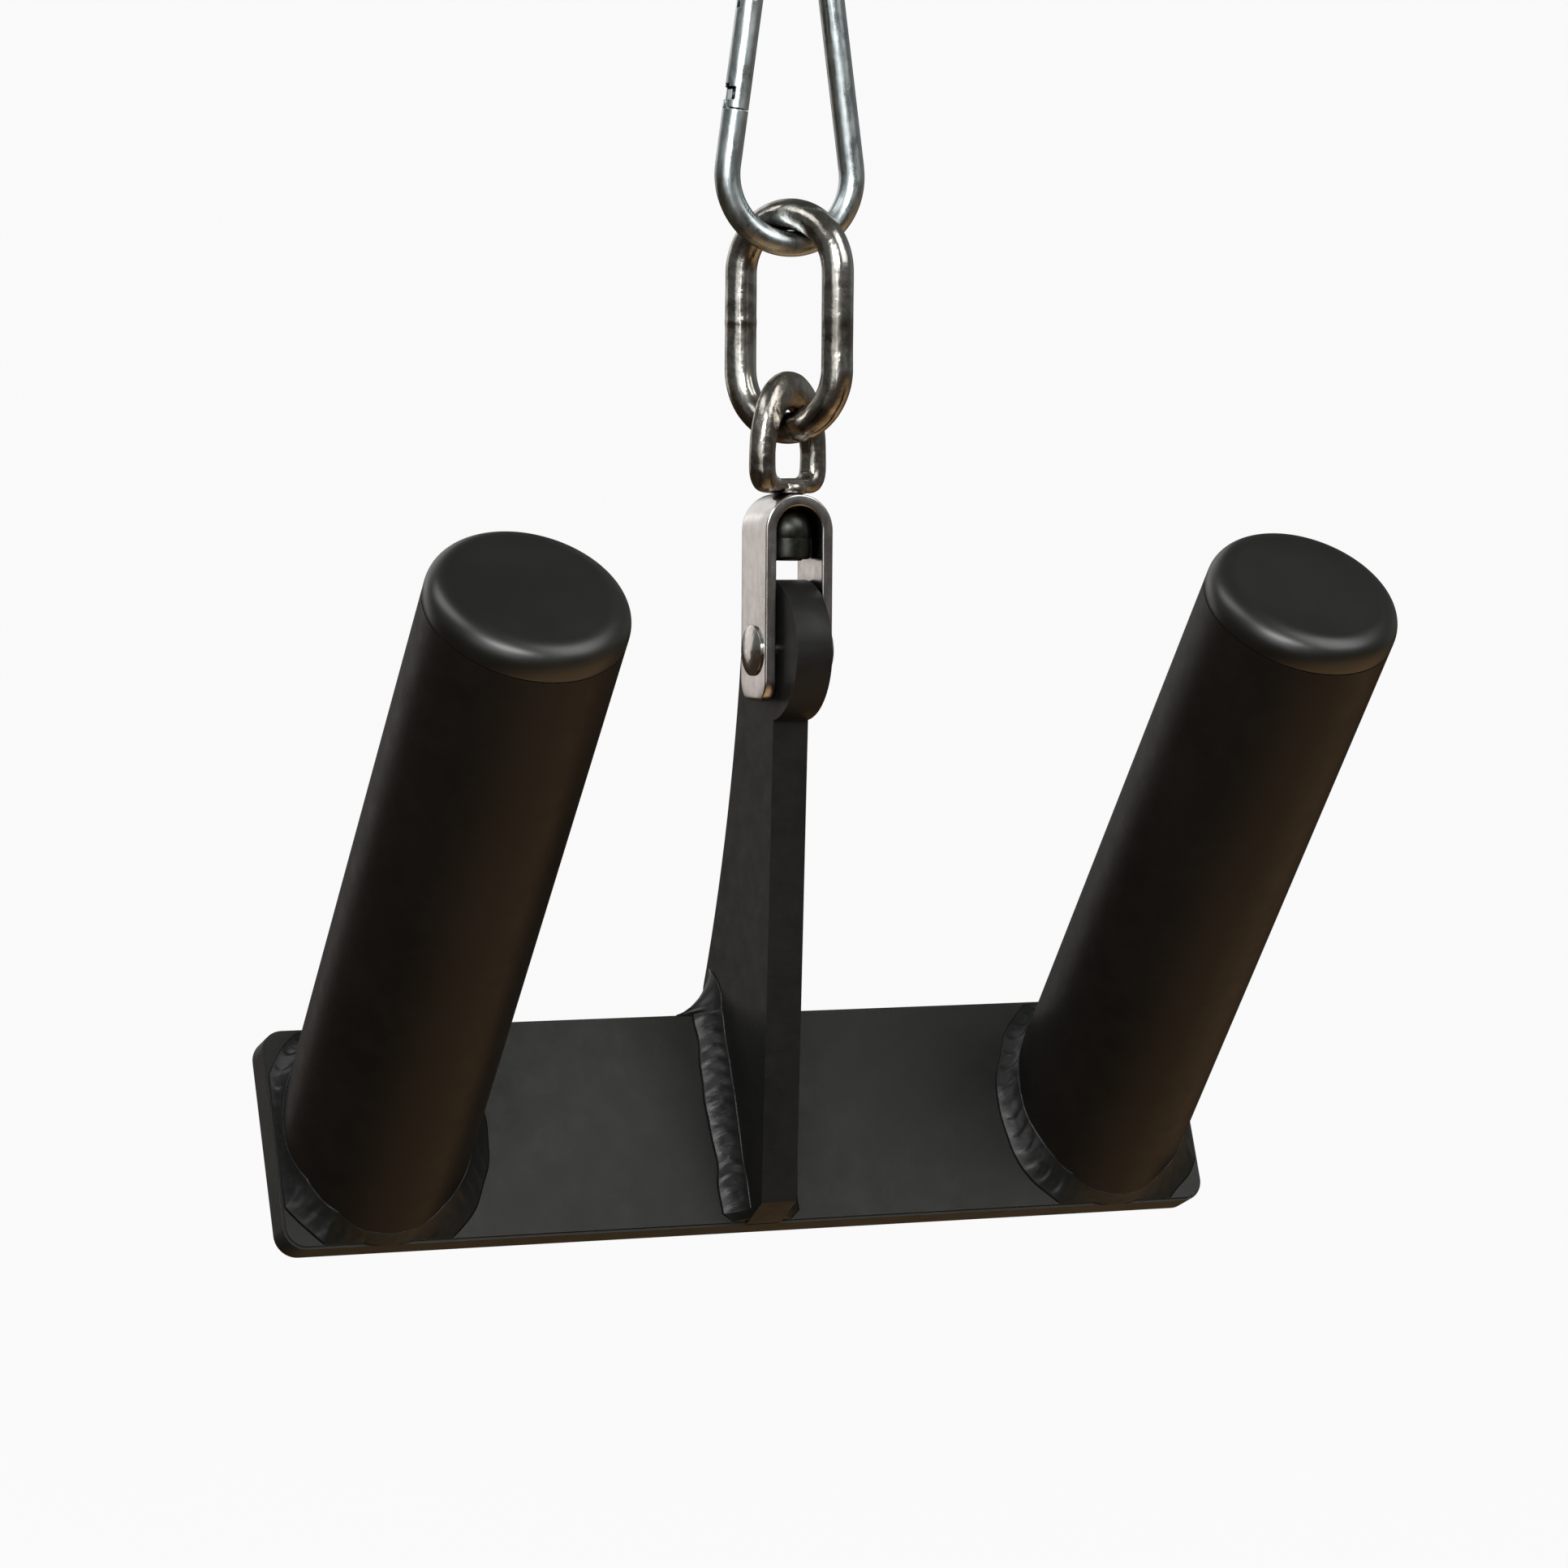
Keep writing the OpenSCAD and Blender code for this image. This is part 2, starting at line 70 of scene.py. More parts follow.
# ------------------------------------------------------------------ shader helpers
class Graph:
    """Short names for building the shader tree of a material or a world."""

    def __init__(self, owner):
        owner.use_nodes = True
        self.tree = owner.node_tree
        self.tree.nodes.clear()

    def node(self, kind, inputs=None, **props):
        made = self.tree.nodes.new(kind)
        for key, value in props.items():
            setattr(made, key, value)
        for key, value in (inputs or {}).items():
            self.put(made.inputs[key], value)
        return made

    def put(self, socket, value):
        if isinstance(value, bpy.types.NodeSocket):
            self.tree.links.new(value, socket)
        elif socket.type == "RGBA":
            socket.default_value = (*value, 1.0)
        else:
            socket.default_value = value

    def math(self, operation, a, b=0.0, c=0.0, clamp=False):
        inputs = {0: a, 1: b, 2: c}
        return self.node("ShaderNodeMath", inputs, operation=operation, use_clamp=clamp).outputs[0]

    def times(self, a, b, clamp=False):
        return self.math("MULTIPLY", a, b, clamp=clamp)

    def times_plus(self, a, b, base):
        return self.math("MULTIPLY_ADD", a, b, base)

    def dot(self, a, b):
        made = self.node("ShaderNodeVectorMath", {0: a, 1: b}, operation="DOT_PRODUCT")
        return made.outputs["Value"]

    def mix(self, factor, a, b, blend="MIX"):
        inputs = {0: factor, 6: a, 7: b}
        return self.node("ShaderNodeMix", inputs, data_type="RGBA", blend_type=blend).outputs[2]

    def remap(self, value, span, to=(0.0, 1.0), smooth=False):
        inputs = dict(enumerate((value, *span, *to)))
        kind = "SMOOTHSTEP" if smooth else "LINEAR"
        return self.node("ShaderNodeMapRange", inputs, interpolation_type=kind).outputs[0]

    def noise(self, place, scale, detail=2.0, rough=0.5, distortion=0.0):
        inputs = {"Vector": place, "Scale": scale, "Detail": detail,
                  "Roughness": rough, "Distortion": distortion}
        return self.node("ShaderNodeTexNoise", inputs).outputs["Fac"]

    def stretch(self, place, scale, turn=(0, 0, 0)):
        inputs = {"Vector": place, "Rotation": turn, "Scale": scale}
        return self.node("ShaderNodeMapping", inputs).outputs[0]

    def bump(self, height, strength, distance):
        inputs = {"Strength": strength, "Distance": distance, "Height": height}
        return self.node("ShaderNodeBump", inputs)

    def rounded_normal(self, radius):
        return self.node("ShaderNodeBevel", {"Radius": radius}, samples=6).outputs[0]

    def face_normal(self):
        return self.node("ShaderNodeNewGeometry").outputs["Normal"]

    def edge(self, radius):
        """1 on edges, 0 on flats, from how far a rounded normal turns away."""
        agreement = self.dot(self.rounded_normal(radius), self.face_normal())
        return self.remap(self.math("SUBTRACT", 1.0, agreement), span=(0.02, 0.22))


class MaterialGraph(Graph):
    """A new material with one principled shader, textured in object coordinates."""

    def __init__(self, name):
        self.material = bpy.data.materials.new(name)
        super().__init__(self.material)
        self.output = self.node("ShaderNodeOutputMaterial")
        self.bsdf = self.node("ShaderNodeBsdfPrincipled")
        self.put(self.output.inputs["Surface"], self.bsdf.outputs[0])
        self.place = self.node("ShaderNodeTexCoord").outputs["Object"]

    def surface(self, **values):
        """Set principled inputs; an underscore stands for a space in the socket's name."""
        for key, value in values.items():
            self.put(self.bsdf.inputs[key.replace("_", " ")], value)


def shade(colour, gain, lift=0.0):
    return tuple(min(1, c * gain + lift) for c in colour)


# ------------------------------------------------------------------ materials
def powder(name, dark, light, rough, peel, grain, spec,
           edge_radius=0.0006, edge_colour=None, cut_lines=False):
    """Powder coat: slow mottling, orange peel, fine grain and thin glossy edges."""
    g = MaterialGraph(name)
    co = g.place
    slow = g.noise(co, scale=22.0, detail=4.0, rough=0.6)
    mid = g.noise(co, scale=160.0, detail=3.0, rough=0.6)
    speck = g.noise(co, scale=2600.0, rough=0.7)
    colour = g.mix(g.remap(slow, span=(0.35, 0.65), smooth=True), dark, light)
    patches = g.remap(mid, span=(0.4, 0.7), to=(0.0, 0.35))
    colour = g.mix(patches, colour, shade(light, gain=1.25))
    specks = g.remap(speck, span=(0.62, 0.8), to=(0.0, 0.35))
    colour = g.mix(specks, colour, shade(light, gain=2.2, lift=0.01))
    wear = g.noise(co, scale=420.0, detail=3.0, rough=0.6)
    worn = g.times(g.edge(edge_radius), g.remap(wear, span=(0.42, 0.62), to=(0.25, 1.0)))
    edge_colour = edge_colour or shade(light, gain=1.9, lift=0.004)
    edge_tint, edge_gloss = 0.55, 0.08  # how far worn edges change colour and lose roughness
    colour = g.mix(g.times(worn, edge_tint), colour, edge_colour)
    roughness = g.remap(mid, span=(0.3, 0.7), to=(rough - 0.05, rough + 0.06))
    roughness = g.math("SUBTRACT", roughness, g.times(worn, edge_gloss), clamp=True)
    height = g.times(g.noise(co, scale=520.0), peel)
    height = g.times_plus(g.noise(co, scale=2100.0, rough=0.6), 0.35 * grain, height)
    if cut_lines:  # fine lines running along X on the faces that are turned away from X
        line_depth = 0.6
        sideways = g.math("ABSOLUTE", g.dot(g.face_normal(), (1, 0, 0)))
        lines = g.noise(g.stretch(co, (0.02, 1.0, 1.0)), scale=900.0, detail=3.0, rough=0.6)
        cut = g.times(g.remap(sideways, span=(0.2, 0.6), to=(1.0, 0.0)), line_depth)
        height = g.times_plus(lines, cut, height)
    normal = g.bump(height, strength=0.55, distance=0.00012).outputs[0]
    g.surface(Base_Color=colour, Roughness=roughness, Specular_IOR_Level=spec, Normal=normal)
    return g.material


def plastic_cap(name):
    """Dark moulded plastic with patches of light handling scuffs."""
    g = MaterialGraph(name)
    co = g.place
    slow = g.noise(co, scale=30.0, detail=3.0, rough=0.6)
    colour = g.mix(g.remap(slow, span=(0.35, 0.65), smooth=True),
                   (0.0075, 0.0078, 0.0062), (0.0110, 0.0113, 0.0092))
    # short fine scratches in two directions
    scratch = dict(detail=3.0, rough=0.7, distortion=0.4)
    first = g.noise(g.stretch(co, (1.0, 14.0, 1.0), turn=(0.5, 0.2, 0.7)), scale=260.0, **scratch)
    second = g.noise(g.stretch(co, (12.0, 1.0, 1.0), turn=(0.1, 0.6, -0.4)), scale=220.0, **scratch)
    patch = g.remap(g.noise(co, scale=45.0), span=(0.5, 0.68), smooth=True)
    both = g.math("ADD", g.remap(first, span=(0.6, 0.78)), g.remap(second, span=(0.62, 0.8)))
    scuffs = g.times(both, patch, clamp=True)
    scuff_rough, scuff_depth, grain, waviness = 0.16, -0.2, 0.2, 0.4
    roughness = g.remap(slow, span=(0.3, 0.7), to=(0.34, 0.41))
    roughness = g.times_plus(scuffs, scuff_rough, roughness)
    height = g.times_plus(g.noise(co, scale=1500.0), grain, g.times(scuffs, scuff_depth))
    height = g.times_plus(g.noise(co, scale=180.0), waviness, height)
    normal = g.bump(height, strength=0.22, distance=0.00012).outputs[0]
    g.surface(Base_Color=colour, Roughness=roughness, Specular_IOR_Level=0.95, Normal=normal)
    return g.material


def plated(name, tint, dull, rough, wave, tarnish, wave_scale=140.0, pit=0.4, draw=0.0):
    """Plating over a formed part: slow undulation, pits, smudges, patchy tarnish and painted shade
    darkening the hollows.
    draw is the strength of drawing lines along Z."""
    g = MaterialGraph(name)
    co = g.place
    smear = g.noise(g.stretch(co, (1.0, 1.0, 0.35)),
                    scale=210.0, detail=4.0, rough=0.65, distortion=0.6)
    film = g.noise(co, scale=85.0, detail=5.0, rough=0.68, distortion=0.4)
    colour = g.mix(g.remap(film, span=(0.40, 0.66), to=(0.0, tarnish), smooth=True), tint, dull)
    # painted shade: colour darkened in hollows and between parts, where ambient occlusion finds
    # little open sky
    openness = g.node("ShaderNodeAmbientOcclusion", {"Distance": 0.004}, samples=6).outputs["AO"]
    hollow_painted_shade = g.remap(openness, span=(0.75, 0.25), to=(0.0, 0.8))
    colour = g.mix(hollow_painted_shade, colour, shade(dull, gain=0.16))
    cells = g.node("ShaderNodeTexVoronoi", {"Vector": co, "Scale": 900.0}).outputs["Distance"]
    pits = g.remap(cells, span=(0.0, 0.16), to=(1.0, 0.0))
    pitted = g.remap(g.noise(co, scale=260.0), span=(0.52, 0.66))
    pits = g.times(pits, pitted, clamp=True)
    colour = g.mix(g.times(pits, pit), colour, shade(dull, gain=0.35))
    pit_rough = 0.2
    roughness = g.remap(smear, span=(0.3, 0.7), to=(rough * 0.7, rough * 1.7))
    roughness = g.times_plus(pits, pit_rough, roughness)
    height = g.times(g.noise(co, scale=wave_scale), wave)
    ripple = g.noise(co, scale=wave_scale * 6.0, detail=3.0, rough=0.6)
    height = g.times_plus(ripple, wave * 0.10, height)
    height = g.times_plus(pits, -0.05 * pit, height)
    if draw:
        lines = g.noise(g.stretch(co, (1.0, 1.0, 0.03)), scale=1500.0, rough=0.6)
        height = g.times_plus(lines, 0.05 * draw, height)
    bump = g.bump(height, strength=0.8, distance=0.0008)
    g.put(bump.inputs["Normal"], g.rounded_normal(radius=0.0004))
    g.surface(Metallic=1.0, Base_Color=colour, Roughness=roughness, Normal=bump.outputs[0])
    return g.material


PLATE_COAT = powder("plate_coat", dark=(0.0172, 0.0180, 0.0148), light=(0.0236, 0.0245, 0.0205),
                    rough=0.52, peel=0.55, grain=0.9, spec=0.42)
NECK_COAT = powder("neck_coat", dark=(0.0118, 0.0118, 0.0107), light=(0.0162, 0.0160, 0.0149),
                   rough=0.46, peel=0.45, grain=0.6, spec=0.3, cut_lines=True)
GRIP_COAT = powder("grip_coat", dark=(0.0118, 0.0096, 0.0080), light=(0.0150, 0.0122, 0.0103),
                   rough=0.40, peel=0.35, grain=0.5, spec=0.22)
WELD_COAT = powder("weld_coat", dark=(0.0085, 0.0095, 0.0085), light=(0.014, 0.0155, 0.0138),
                   rough=0.36, peel=0.35, grain=0.5, spec=0.42,
                   edge_radius=0.0003, edge_colour=(0.018, 0.019, 0.017))
CAP_PLASTIC = plastic_cap("cap_moulding")
BRACKET_PLATING = plated("bracket_nickel", tint=(0.80, 0.77, 0.755), dull=(0.52, 0.47, 0.45),
                         rough=0.17, wave=0.22, wave_scale=110.0, tarnish=0.35)
PIN_PLATING = plated("pin_nickel", tint=(0.80, 0.775, 0.74), dull=(0.45, 0.39, 0.34),
                     rough=0.13, wave=0.4, wave_scale=200.0, tarnish=0.6)
EYE_PLATING = plated("eye_nickel", tint=(0.47, 0.44, 0.40), dull=(0.19, 0.165, 0.145),
                     rough=0.19, wave=0.9, wave_scale=170.0, tarnish=0.9, pit=0.6)
# near-black tone for the swivel head, far darker than the other plated parts
HEAD_COAT = plated("head_near_black", tint=(0.085, 0.088, 0.078), dull=(0.045, 0.048, 0.042),
                   rough=0.34, wave=0.4, wave_scale=150.0, tarnish=0.8)
LINK_PLATING = plated("link_nickel", tint=(0.60, 0.58, 0.54), dull=(0.25, 0.225, 0.195),
                      rough=0.16, wave=1.5, wave_scale=70.0, tarnish=0.9, pit=0.5)
HOOK_ZINC = plated("hook_zinc_plate", tint=(0.63, 0.69, 0.70), dull=(0.36, 0.42, 0.43),
                   rough=0.25, wave=0.35, wave_scale=120.0, draw=0.6, tarnish=0.6)
SMALL_STEEL = plated("small_steel_bright", tint=(0.62, 0.61, 0.60), dull=(0.30, 0.29, 0.28),
                     rough=0.28, wave=0.1, draw=1.0, tarnish=0.4)

COATED = (
    (PLATE_COAT, ("base_plate",)),
    (NECK_COAT, ("neck_plate",)),
    (GRIP_COAT, ("left_grip_tube", "right_grip_tube")),
    (CAP_PLASTIC, ("left_end_cap", "right_end_cap")),
    (WELD_COAT, ("left_tube_weld", "right_tube_weld", "left_neck_weld", "right_neck_weld")),
    (BRACKET_PLATING, ("swivel_bracket",)),
    (PIN_PLATING, ("cross_pin", "pin_washer")),
    (EYE_PLATING, ("swivel_eye",)),
    (HEAD_COAT, ("swivel_head",)),
    (LINK_PLATING, ("chain_link",)),
    (HOOK_ZINC, ("hook_body", "hook_gate")),
    (SMALL_STEEL, ("gate_pin", "gate_spring", "gate_plunger")),
)
for coat, names in COATED:
    for name in names:
        slots = NODES[name].data.materials
        if not slots:
            slots.append(coat)
        for i in range(len(slots)):
            slots[i] = coat


# ------------------------------------------------------------------ measures taken from the frame
X = np.array([1.0, 0, 0])
Z = np.array([0, 0, 1.0])


def points(node):
    mesh = NODES[node].data
    flat = np.zeros(len(mesh.vertices) * 3, np.float32)
    mesh.vertices.foreach_get("co", flat)
    return flat.reshape(-1, 3).astype(float)


def facing(lean):
    """Unit vector to the front, leaning up by an angle."""
    return np.array([0, -math.cos(lean), math.sin(lean)])


def off_axis(cloud, origin, axis):
    """Distance of each point from an axis."""
    offset = cloud - origin
    return np.linalg.norm(offset - np.outer(offset @ axis, axis), axis=1)


# the plate's normal is the direction square to X that the plate is thinnest along
plate = points("base_plate")
plate_lean = min(np.radians(np.arange(0, 60, 0.05)), key=lambda t: np.ptp(plate @ facing(t)))
PLATE_OUT = facing(plate_lean)
PLATE_UP = np.array([0, math.sin(plate_lean), math.cos(plate_lean)])
plate_front = (plate @ PLATE_OUT).max()
plate_thick = np.ptp(plate @ PLATE_OUT)
plate_bottom, plate_top = (plate @ PLATE_UP).min(), (plate @ PLATE_UP).max()
plate_middle = (plate_bottom + plate_top) / 2
half_plate_height = (plate_top - plate_bottom) / 2
half_plate_length = np.abs(plate[:, 0]).max()


def on_plate(x, up, out):
    """x along the plate, up it from its middle, out of its front face."""
    return X * x + PLATE_UP * (up + plate_middle) + PLATE_OUT * (out + plate_front)


def cap_top(cap, axis):
    """The cap's points at its greatest height along an axis."""
    level = cap @ axis
    return cap[level > level.max() - 2e-5]


def grip(side):
    """Axis, radius and tilt of a grip, its foot on the plate's front and the middle of its top."""
    cap = points(side + "_end_cap")
    # the cap stands square to the lean at which most of its points share the top level
    leans = plate_lean + np.radians(np.arange(10, 50, 0.1))
    lean = max(leans, key=lambda t: len(cap_top(cap, facing(t))))
    axis = facing(lean)
    flat = cap_top(cap, axis)
    top = (flat.min(0) + flat.max(0)) / 2
    radius = off_axis(points(side + "_grip_tube"), top, axis).max()
    foot = top + axis * ((plate_front - top @ PLATE_OUT) / (axis @ PLATE_OUT))
    return SimpleNamespace(axis=axis, foot=foot, radius=radius, tilt=lean - plate_lean, top=top)


GRIPS = {side: grip(side) for side in ("left", "right")}


# ------------------------------------------------------------------ mesh helpers
def stand_in(name, node, shape, coat, body="handle"):
    """Make a smooth mesh from (vertices, faces) to replace a node of the frame."""
    verts, faces = shape
    mesh = bpy.data.meshes.new(name)
    mesh.from_pydata([tuple(v) for v in verts], [], faces)
    mesh.materials.append(coat)
    for polygon in mesh.polygons:
        polygon.use_smooth = True
    mesh.update()
    made = bpy.data.objects.new(name, mesh)
    bpy.context.scene.collection.objects.link(made)
    bm = bmesh.new()
    bm.from_mesh(mesh)
    bmesh.ops.recalc_face_normals(bm, faces=bm.faces)
    bm.to_mesh(mesh)
    bm.free()
    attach(made, body)
    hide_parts(node)


def skin(sections, closed):
    """Join equal rings of points into a tube, closed on itself or capped at both ends."""
    n, m = len(sections), len(sections[0])
    verts = [point for section in sections for point in section]
    faces = []
    for i in range(n if closed else n - 1):
        for j in range(m):
            i2, j2 = (i + 1) % n, (j + 1) % m
            faces.append((i * m + j, i * m + j2, i2 * m + j2, i2 * m + j))
    if not closed:
        faces.append(tuple(range(m)))
        faces.append(tuple((n - 1) * m + j for j in reversed(range(m))))
    return verts, faces


def lathe(profile, origin, axis, segments):
    """Turn a profile of (radius, height) about an axis square to X."""
    across = np.cross(axis, X)
    across /= np.linalg.norm(across)
    verts, faces = [], []
    for radius, height in profile:
        for k in range(segments):
            t = 2 * math.pi * k / segments
            spoke = X * math.cos(t) + across * math.sin(t)
            verts.append(origin + axis * height + spoke * max(radius, 1e-5))
    for j in range(len(profile) - 1):
        low, high = j * segments, (j + 1) * segments
        for k in range(segments):
            k2 = (k + 1) % segments
            faces.append((low + k, low + k2, high + k2, high + k))
    faces.append(tuple(range(segments - 1, -1, -1)))
    faces.append(tuple((len(profile) - 1) * segments + k for k in range(segments)))
    return verts, faces


def uneven(x, y, z, shift=0.0):
    """Smooth noise about zero."""
    return noise.noise(Vector((x, y, z)) + Vector((shift, 0, 0)))


# ------------------------------------------------------------------ weld beads
BEAD_STEPS = 14  # across the bead
BEAD_BURIED = 0.0006  # how far its root sits inside both parts
RIPPLE = 0.020  # ripple height against the shorter leg
RIPPLE_LAG = 0.0021  # how far ripples trail at the toes
RIPPLE_FRONT = 0.25  # share of a ripple taken by its steep leading edge


def ripple_height(phase):
    rise = phase / RIPPLE_FRONT if phase < RIPPLE_FRONT else (1 - phase) / (1 - RIPPLE_FRONT)
    return rise * rise * (3 - 2 * rise)


def bead(run, closed, seed, pitch, rough, fill):
    """Weld along a run of (root, side1, side2, leg1, leg2): each side is a direction lying on one
    of the joined parts, each leg the bead's reach along it. The crown carries crescent ripples,
    as a moving pool leaves them, and small lumps. fill sets how full the section is."""
    roots = [station[0] for station in run]
    if closed:
        total = sum(np.linalg.norm(roots[i] - roots[i - 1]) for i in range(len(roots)))
        pitch = total / round(total / pitch)
    sections = []
    along = 0.0
    for i, (root, side1, side2, leg1, leg2) in enumerate(run):
        if i:
            along += np.linalg.norm(root - roots[i - 1])
        inner = root - side1 * BEAD_BURIED - side2 * BEAD_BURIED
        outward = side1 + side2
        outward = outward / np.linalg.norm(outward)
        # long legs get a flatter section
        swell = fill - (fill - 0.20) * min(1.0, max(0.0, (leg1 - 0.0072) / 0.004))
        wobble = uneven(along * 60, seed, 3.1) * 0.0011
        ring = [inner]
        for j in range(BEAD_STEPS + 1):
            t = j / BEAD_STEPS
            reach1 = (1 - t) ** 2 + 2 * t * (1 - t) * swell
            reach2 = t * t + 2 * t * (1 - t) * swell
            lag = RIPPLE_LAG * (2 * t - 1) ** 2
            ripple = ripple_height(((along + lag + wobble) / pitch) % 1.0)
            point = root + side1 * leg1 * reach1 + side2 * leg2 * reach2
            lump = uneven(*(point * 420), shift=seed) + 0.5 * uneven(*(point * 1100))
            lift = min(leg1, leg2) * (RIPPLE * (ripple - 0.5) * 2) + 0.0045 * rough * lump
            ring.append(point + outward * math.sin(math.pi * t) * lift)
        ring.append(inner + side2 * 0.0001)
        sections.append(ring)
    return skin(sections, closed)


def tube_weld(side, bead_seed, leg_seed):
    """Bead round the foot of a grip, narrowed where it would run over the plate's edge."""
    leg = 0.0055
    edge_gap = 0.0008  # left bare along the plate's edges
    stations = 760
    g = GRIPS[side]
    foot_x = g.foot @ X
    foot_up = g.foot @ PLATE_UP - plate_middle

    def room(half_size, place, normal):
        reach = half_size - edge_gap - place * (1 if normal > 0 else -1)
        return reach / max(0.02, abs(normal))

    run = []
    for i in range(stations):
        t = 2 * math.pi * i / stations
        cos, sin = math.cos(t), math.sin(t)
        x = foot_x + g.radius * cos
        up = foot_up + g.radius * sin / math.cos(g.tilt)
        normal_x, normal_up = cos, sin * math.cos(g.tilt)
        length = math.hypot(normal_x, normal_up)
        normal_x, normal_up = normal_x / length, normal_up / length
        space = min(room(half_plate_length, x, normal_x), room(half_plate_height, up, normal_up))
        width = leg * (1 + 0.20 * uneven(cos * 3.2, sin * 3.2, leg_seed))
        on_base = max(0.0003, min(width, space))
        on_tube = width * (0.55 + 0.45 * on_base / width) * (1 - 0.25 * sin)
        run.append((on_plate(x, up, 0), X * normal_x + PLATE_UP * normal_up, g.axis,
                    on_base, on_tube))
    shape = bead(run, closed=True, seed=bead_seed, pitch=0.0043, rough=0.026, fill=0.38)
    stand_in(side + "_tube_bead", side + "_tube_weld", shape, WELD_COAT)


def neck_weld(side, sign, bead_seed):
    """Bead up one side of the neck, over the plate's top edge and back across its thickness."""
    leg = 0.0065
    corner = 0.00005  # radius the root turns over the plate's top edge
    front_steps, turn_steps, back_steps = 250, 9, 40
    back_lean = 44.0
    half_neck = np.abs(points("neck_plate")[:, 0]).max()
    half = half_plate_height
    run = []

    def station(up, out, turn, leg1, leg2):
        """turn swings the second side from out of the plate (0) to up the plate (90 degrees)."""
        side2 = PLATE_UP * math.sin(turn) + PLATE_OUT * math.cos(turn)
        run.append((on_plate(sign * half_neck, up, out), X * sign, side2, leg1, leg2))

    for i in range(front_steps + 1):
        up = -half + 0.0009 + (2 * half - 0.00095) * i / front_steps
        width = leg * (1 + 0.16 * uneven(up * 110, sign * 3.0, 0.4))
        width *= min(1.0, 0.55 + 0.45 * (i / 10.0))  # narrower at the bottom end
        station(up, 0, 0.0, width, width * 0.8)
    for i in range(1, turn_steps):
        turn = math.radians(90 * i / turn_steps)
        width = leg * (1 + 0.75 * i / turn_steps)
        station(half - corner + corner * math.sin(turn), -corner + corner * math.cos(turn), turn,
                width, width * (0.8 + 0.31 * i / turn_steps))
    for i in range(back_steps + 1):
        width = leg * (1 + 0.06 * uneven(i * 0.4, sign, 8.0))
        back = i / back_steps
        # the bead leans with the neck's back edge, so its toe stays on the neck
        station(half, -corner - (plate_thick - 0.0014) * back,
                math.radians(90 - back_lean * back),
                width * (1.75 - 0.35 * back), width * (1.95 - 0.5 * back))
    shape = bead(run, closed=False, seed=bead_seed, pitch=0.0040, rough=0.032, fill=0.34)
    stand_in(side + "_neck_bead", side + "_neck_weld", shape, WELD_COAT)


tube_weld("left", bead_seed=4.0, leg_seed=1.7)
neck_weld("left", sign=-1, bead_seed=14.0)
tube_weld("right", bead_seed=9.0, leg_seed=5.3)
neck_weld("right", sign=1, bead_seed=21.0)


# ------------------------------------------------------------------ moulded caps
def cap_mesh(side):
    """Push-in cap with a wide slumped rim, a seam groove against the tube and a hollow spigot."""
    g = GRIPS[side]
    axis, radius = g.axis, g.radius
    cap = points(side + "_end_cap")
    seam = (points(side + "_grip_tube") @ axis).max()
    height = g.top @ axis - seam
    origin = g.top - axis * height
    deep = (cap @ axis).min() - seam
    in_tube = (cap @ axis) < seam - 0.001
    spigot = off_axis(cap, origin, axis)[in_tube].max() - 0.0002
    bore = spigot - 0.002
    rim_width, rim_height = 0.0066, height - 0.0018
    # (radius, height above the seam)
    profile = [(0.0, height), (radius * 0.35, height), (radius - 0.0068, height - 0.00002)]
    for i in range(1, 25):
        t = math.pi / 2 * i / 24
        profile.append((radius - rim_width + rim_width * math.sin(t) ** 0.94,
                        height - rim_height + rim_height * math.cos(t) ** 0.94))
    profile += [
        (radius, 0.0005), (radius - 0.00012, 0.00022), (radius - 0.0004, 0.00012),
        (radius - 0.0005, 0.00002), (spigot, 0.00002), (spigot, deep + 0.0006),
        (spigot - 0.0006, deep), (spigot - 0.0016, deep), (bore, deep + 0.0004),
        (bore, 0.0014), (0.0, 0.0015),
    ]
    shape = lathe(profile, origin, axis, segments=144)
    stand_in(side + "_cap_moulding", side + "_end_cap", shape, CAP_PLASTIC)


for side in ("left", "right"):
    cap_mesh(side)


# ------------------------------------------------------------------ broken edges
for node, width in (("neck_plate", 0.0006), ("base_plate", 0.0005), ("pin_washer", 0.0002)):
    join = NODES[node].modifiers.new("join", "WELD")
    join.merge_threshold = 1e-6
    bevel = NODES[node].modifiers.new("broken_edge", "BEVEL")
    bevel.width = width
    bevel.segments = 3
    bevel.limit_method = "ANGLE"
    bevel.angle_limit = math.radians(28.0)
    bevel.harden_normals = True
    bevel.use_clamp_overlap = True

# ------------------------------------------------------------------ swivel bracket
pin_lo, pin_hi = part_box("cross_pin")
pin_z = (pin_lo[2] + pin_hi[2]) / 2


